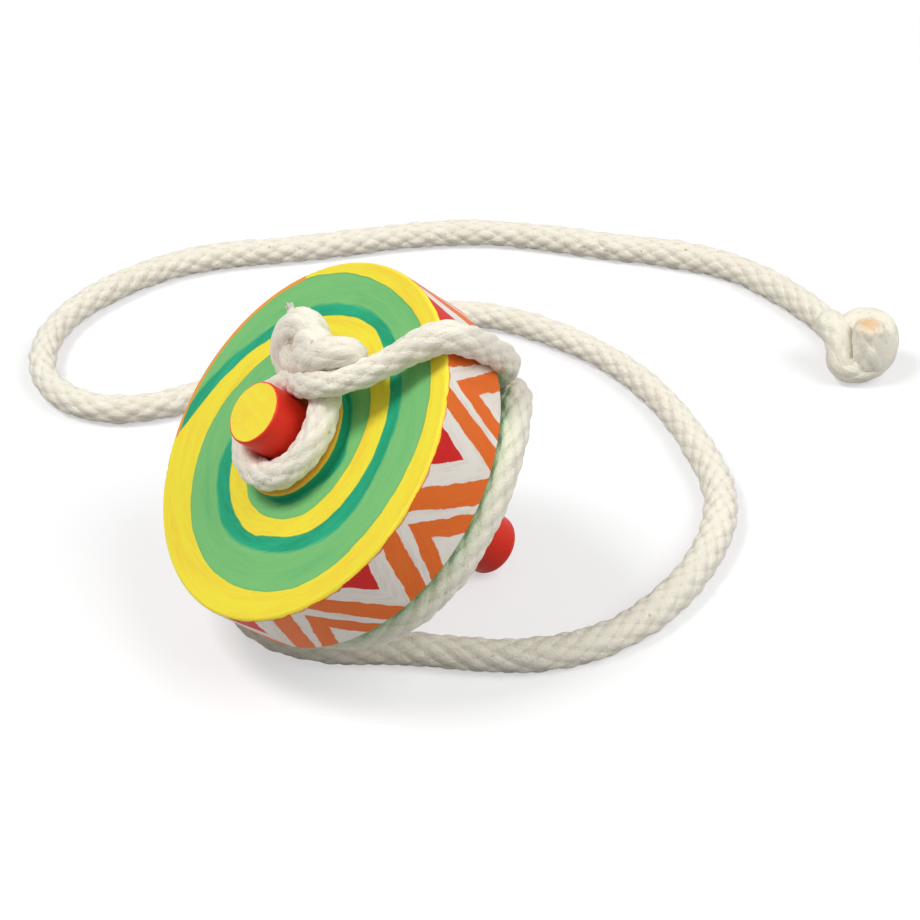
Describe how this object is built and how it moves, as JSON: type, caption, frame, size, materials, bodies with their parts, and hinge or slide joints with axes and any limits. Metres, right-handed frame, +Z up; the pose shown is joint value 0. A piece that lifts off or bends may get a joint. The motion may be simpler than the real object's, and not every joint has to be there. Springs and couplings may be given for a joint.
{
  "type": "spinning top",
  "caption": "Wooden throw top lying on its side: thick painted disc on a round dowel, with a braided cotton cord looped on the stem, wound under the disc and trailing on the floor.",
  "frame": {"origin": "centre of the footprint of the disc and spindle, on the floor", "axes": "+Z up from the floor; +Y is the longest side of the disc and spindle as they lie, and the cord's tail lies towards +Y and +X; the stem points to 207.7 degrees counter-clockwise from +X and 43.5 degrees up"},
  "size_m": [0.1871, 0.1777, 0.0704],
  "materials": {
    "disc_paint": "satin hand-painted wood: spiral bands of yellow and two greens on the face, orange, white and red zigzag on the rim",
    "spindle_paint": "satin red paint on a wooden dowel, yellow on the end of the stem",
    "cord": "soft braided undyed cotton"
  },
  "bodies": {
    "rope": {"noose_knot": "cord", "cord_head": "cord", "cord_coil": "cord", "cord_tail": "cord", "end_knot": "cord"},
    "top": {"disc": "disc_paint", "spindle": "spindle_paint"}
  },
  "joints": [
    {"name": "top_spin", "type": "hinge", "parent": "rope", "child": "top", "pos_m": [-0.00652, -0.00252, 0.04196], "axis": [-0.642, -0.3367, 0.6888], "continuous": true}
  ]
}
